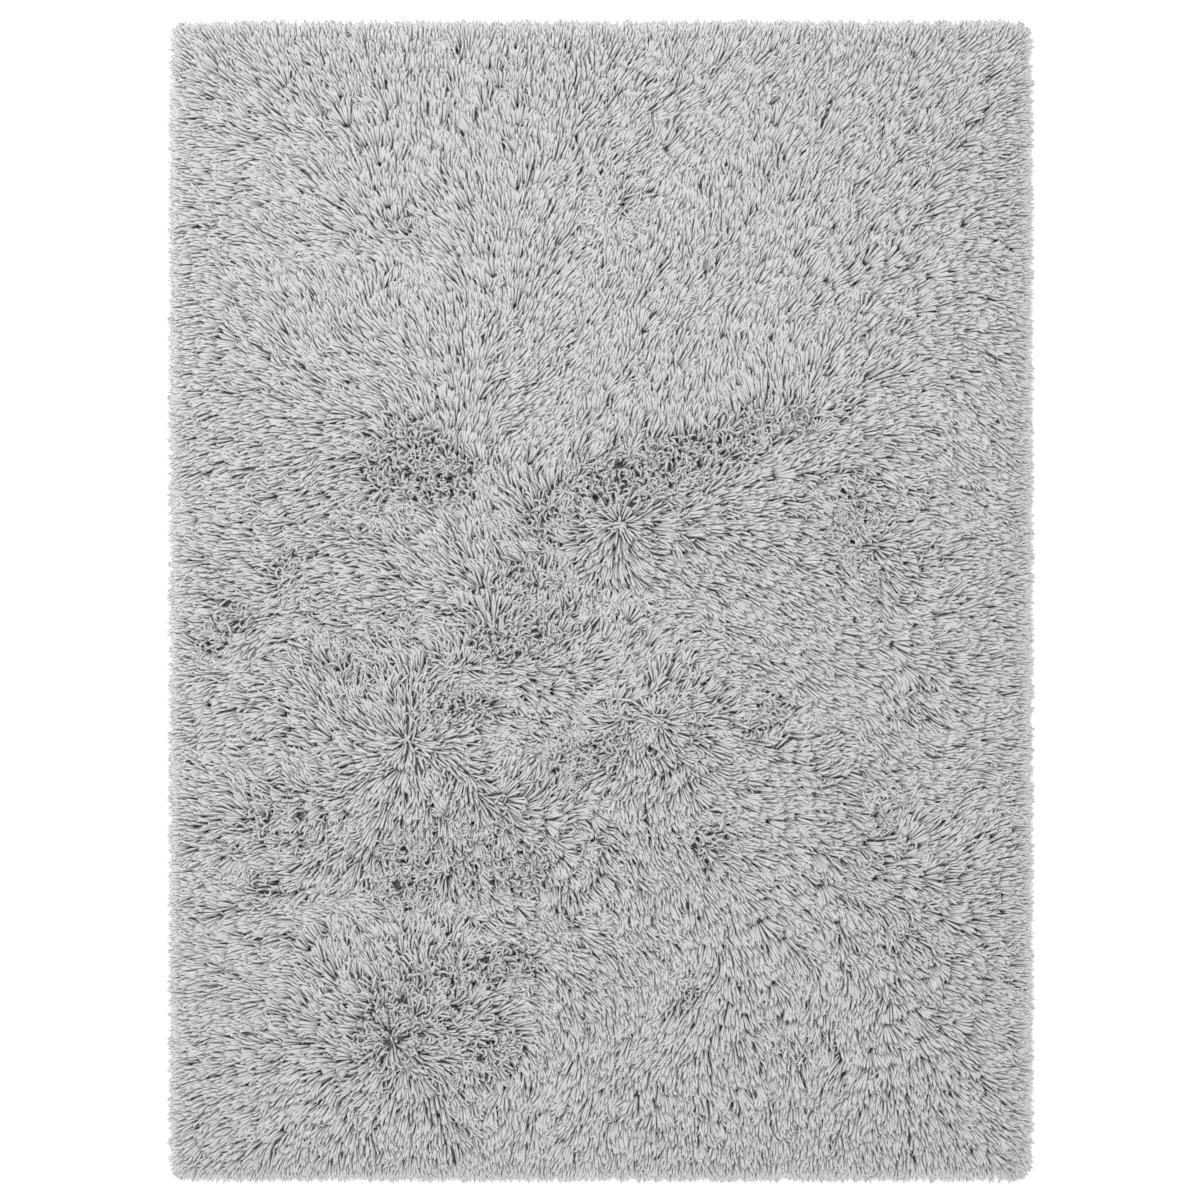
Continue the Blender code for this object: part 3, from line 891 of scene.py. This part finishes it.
class Material:
    """A material of nodes, with its shader."""

    def __init__(self, name):
        self.datablock = bpy.data.materials.new(name)
        self.datablock.use_nodes = True
        self.nodes = self.datablock.node_tree.nodes
        self.shader = self.nodes["Principled BSDF"]

    def add(self, kind, settings=(), **wires):
        """A new node. Each wire is a socket's name, or i and its number, with an output or a value."""
        node = self.nodes.new("ShaderNode" + kind)
        for key, value in dict(settings).items():
            setattr(node, key, value)
        for key, value in wires.items():
            socket = node.inputs[int(key[1:]) if key[0] == "i" and key[1:].isdigit() else key]
            if hasattr(value, "is_output"):
                self.datablock.node_tree.links.new(value, socket)
            else:
                socket.default_value = value
        return node

    def math(self, operation, *values):
        """The result of an operation on one or two values."""
        wires = {f"i{number}": value for number, value in enumerate(values)}
        return self.add("Math", {"operation": operation}, **wires).outputs[0]

    def ranged(self, source, low, high, start=0.0, end=1.0):
        """From low to high, as the source goes from start to end."""
        return self.add("MapRange", i0=source, i1=start, i2=end, i3=low, i4=high).outputs[0]

    def ramp(self, source, *colours):
        """A colour that changes with the source. Each of the colours comes after its place on the ramp."""
        node = self.add("ValToRGB", i0=source)
        stops = node.color_ramp.elements
        for number, (where, colour) in enumerate(colours):
            stop = stops[number] if number < 2 else stops.new(where)
            stop.position = where
            stop.color = colour
        return node.outputs[0]

    def dress(self, **sources):
        """Wires the shader's colour, roughness and normal."""
        names = {"colour": "Base Color", "rough": "Roughness", "normal": "Normal"}
        for key, source in sources.items():
            self.datablock.node_tree.links.new(source, self.shader.inputs[names[key]])


def pile_material():
    """Matt fine yarn in many tones, darker at its root and sides and paler on top and at its tip: painted
    shade and painted light.
    """
    yarn = Material("pale_grey_yarn")
    place = yarn.add("UVMap", {"uv_map": "OFBake"}).outputs[0]
    parts = yarn.add("SeparateXYZ", i0=place).outputs
    tone_column, along = parts[0], parts[1]
    # Painted shade darkens the yarn's colour towards its root, and painted light pales it towards its tip.
    yarn_with_painted_root_shade = yarn.ramp(
        along,
        (0.00, (0.482, 0.489, 0.485, 1)),
        (0.28, (0.552, 0.560, 0.555, 1)),
        (0.60, (0.594, 0.602, 0.596, 1)),
        (0.90, (0.624, 0.632, 0.626, 1)),
        (1.00, (0.690, 0.696, 0.690, 1)),
    )
    tone = yarn.ranged(tone_column, 0.88, 1.12)
    # Painted light pales the top corner of each strand, and painted shade darkens its sides, less so in the
    # paler columns.
    round_share = yarn.math("FRACT", yarn.math("MULTIPLY", tone_column, float(TONES)))
    topness = yarn.math("COSINE", yarn.math("MULTIPLY", round_share, 2 * math.pi))
    painted_side_shade = yarn.ranged(tone_column, 0.62, 0.82, start=0.6)
    painted_top_light_side_shade = yarn.ranged(topness, painted_side_shade, 1.12, start=-1.0)
    scale = (6.0 * TONES, 3.0, 1.0)
    fibre_place = yarn.add("VectorMath", {"operation": "MULTIPLY"}, i0=place, i1=scale).outputs[0]
    fibre = yarn.add("TexNoise", Vector=fibre_place, Scale=1.0, Detail=2.0, Roughness=0.6).outputs[0]
    fibre_tone = yarn.ranged(fibre, 0.90, 1.10, start=0.25, end=0.75)
    # The strand's own tone and fibres, times the painted light and shade round it.
    tones_and_painted_shade = yarn.math("MULTIPLY", yarn.math("MULTIPLY", tone, fibre_tone), painted_top_light_side_shade)
    colour = yarn.add("VectorMath", {"operation": "SCALE"}, i0=yarn_with_painted_root_shade, Scale=tones_and_painted_shade).outputs[0]
    rough = yarn.ranged(fibre, 0.92, 0.74, start=0.25, end=0.75)
    bump = yarn.add("Bump", Strength=0.35, Distance=0.0004, Height=fibre).outputs[0]
    yarn.dress(colour=colour, rough=rough, normal=bump)
    yarn.shader.inputs["Specular IOR Level"].default_value = 0.25
    return yarn.datablock


def ground_material():
    """The matted foot of the pile, darker than the yarn as painted shade of the strands over it."""
    foot = Material("matted_foot_painted_shade")
    place = foot.add("TexCoord").outputs["Object"]
    fuzz = foot.add("TexNoise", Vector=place, Scale=420.0, Detail=3.0, Roughness=0.7).outputs[0]
    # Painted shade: the foot is coloured darker than the yarn, for the shade of the strands over it.
    colour = foot.ramp(fuzz, (0.3, (0.33, 0.335, 0.332, 1)), (0.75, (0.50, 0.506, 0.502, 1)))
    rough = foot.ranged(fuzz, 0.95, 0.82)
    bump = foot.add("Bump", Strength=0.7, Distance=0.0015, Height=fuzz).outputs[0]
    foot.dress(colour=colour, rough=rough, normal=bump)
    return foot.datablock


def backing_material():
    """The underside: an off-white plain weave."""
    cloth = Material("woven_backing")
    place = cloth.add("TexCoord").outputs["Object"]
    threads = []
    for way in ("X", "Y"):
        wave = cloth.add("TexWave", {"bands_direction": way}, Vector=place, Scale=90.0, Distortion=0.4)
        threads.append(wave.outputs["Fac"])
    weave = cloth.math("MULTIPLY", *threads)
    colour = cloth.ramp(weave, (0.0, (0.34, 0.335, 0.32, 1)), (1.0, (0.62, 0.615, 0.59, 1)))
    rough = cloth.ranged(weave, 0.92, 0.78)
    bump = cloth.add("Bump", Strength=0.6, Distance=0.0008, Height=weave).outputs[0]
    cloth.dress(colour=colour, rough=rough, normal=bump)
    return cloth.datablock


def ground_piece():
    """The ground: a closed slab, flat underneath, whose top is the matted foot of the pile."""
    columns = math.ceil(2 * GROUND_X / GROUND_CELL)
    rows = math.ceil(2 * GROUND_Y / GROUND_CELL)
    x = np.linspace(-GROUND_X, GROUND_X, columns + 1)
    y = np.linspace(-GROUND_Y, GROUND_Y, rows + 1)
    at = x[:, None] + 1j * y[None, :]
    gap, outward = ground_gap(at)
    at = at + outward * np.minimum(gap, 0)
    top = np.stack([at.real, at.imag, ground_top(at)], axis=2).reshape(-1, 3)
    number = np.arange(len(top)).reshape(columns + 1, rows + 1)
    cells = np.stack([number[:-1, :-1], number[1:, :-1], number[1:, 1:], number[:-1, 1:]], axis=2)
    edge = np.concatenate([number[:-1, 0], number[-1, :-1], number[:0:-1, -1], number[0, :0:-1]])
    foot = top[edge].copy()
    foot[:, 2] = 0.0
    below = len(top) + np.arange(len(edge))
    walls = np.stack([edge, below, np.roll(below, -1), np.roll(edge, -1)], axis=1)
    faces = cells.reshape(-1, 4).tolist() + walls.tolist() + [below[::-1].tolist()]
    mesh = bpy.data.meshes.new("ground")
    mesh.from_pydata(np.concatenate([top, foot]).tolist(), [], faces)
    mesh.materials.append(ground_material())
    mesh.materials.append(backing_material())
    mesh.polygons[len(faces) - 1].material_index = 1
    mesh.update()
    mesh.shade_smooth()
    mesh.set_sharp_from_angle(angle=math.radians(50))
    piece = bpy.data.objects.new("ground", mesh)
    bpy.context.scene.collection.objects.link(piece)
    return piece


def pile_pieces():
    """The strands, in bands of equal number along the rug, and the curls."""
    strands = laid_strands()
    material = pile_material()
    bands = np.array_split(np.argsort(strands[0][:, 0, 1], kind="stable"), PILE_PIECES)
    pieces = []
    for number, band in enumerate(bands, 1):
        in_band = [values[band] for values in strands]
        pieces.append(pile_piece(f"pile_band_{number}", in_band, RING_ALONG, material))
    curl_along = np.linspace(0, 1, CURL_RINGS + 2)
    pieces.append(pile_piece("pile_curls", curled_strands(), curl_along, material))
    return pieces


def studio():
    """Plain pale floor, soft even light from above and a camera straight over the rug."""
    bpy.ops.mesh.primitive_plane_add(size=40.0, location=(0, 0, -0.0006))
    floor = bpy.context.object
    floor.name = "floor"
    white = Material("white_floor")
    sockets = white.shader.inputs
    sockets["Base Color"].default_value = (0.93, 0.93, 0.93, 1)
    sockets["Roughness"].default_value = 0.9
    sockets["Specular IOR Level"].default_value = 0.1
    sockets["Emission Color"].default_value = (1.0, 1.0, 1.0, 1)
    sockets["Emission Strength"].default_value = 0.30
    floor.data.materials.append(white.datablock)

    world = bpy.data.worlds.new("studio")
    bpy.context.scene.world = world
    world.use_nodes = True
    background = world.node_tree.nodes["Background"]
    background.inputs["Color"].default_value = (1.0, 1.0, 1.0, 1)
    background.inputs["Strength"].default_value = 0.90

    light = bpy.data.lights.new("overhead", "AREA")
    light.shape = "SQUARE"
    light.size = 2.2
    light.energy = 42.0
    lamp = bpy.data.objects.new("overhead", light)
    lamp.location = (-0.9, 1.1, 3.0)
    lamp.rotation_euler = (-lamp.location).to_track_quat("-Z", "Y").to_euler()
    bpy.context.scene.collection.objects.link(lamp)

    frame_width = 1.670  # at the floor
    camera = bpy.data.cameras.new("camera")
    camera.lens = 120.0
    camera.sensor_width = 36.0
    eye = bpy.data.objects.new("camera", camera)
    eye.location = (-0.0014, 0.0014, frame_width * camera.lens / camera.sensor_width)
    bpy.context.scene.collection.objects.link(eye)
    bpy.context.scene.camera = eye
    bpy.context.scene.view_settings.view_transform = "Standard"


fans = all_fans()
holes = tousled_holes()
lean_map = LeanMap()
studio()
ground = ground_piece()
pile = pile_pieces()
for piece in [ground, *pile]:
    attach(piece, "root")
    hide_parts("shag_pile")
